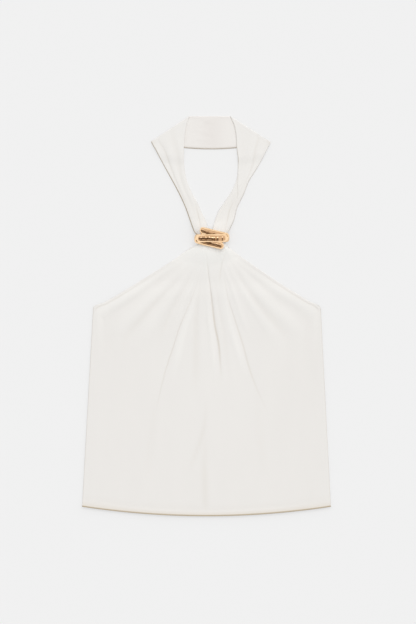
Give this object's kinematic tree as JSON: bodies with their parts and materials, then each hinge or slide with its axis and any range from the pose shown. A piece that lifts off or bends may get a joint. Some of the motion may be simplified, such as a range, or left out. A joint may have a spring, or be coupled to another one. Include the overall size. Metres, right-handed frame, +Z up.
{
  "type": "halter-neck top",
  "caption": "White halter-neck top laid flat, its front gathered through a sculpted gold ring at the throat, with straps that join a band behind the neck.",
  "frame": {"origin": "middle of the laid-out top's box, on the surface it lies on", "axes": "+X to the viewer's right, +Y from the hem to the neck, +Z up from the surface through the front"},
  "size_m": [0.4252, 0.684, 0.022],
  "materials": {
    "cloth": "matt off-white crepe",
    "gold": "polished warm gold plating"
  },
  "bodies": {
    "root": {"back": "cloth", "front": "cloth", "strap_left": "cloth", "strap_right": "cloth", "neck_band": "cloth", "ring": "gold"}
  },
  "joints": []
}
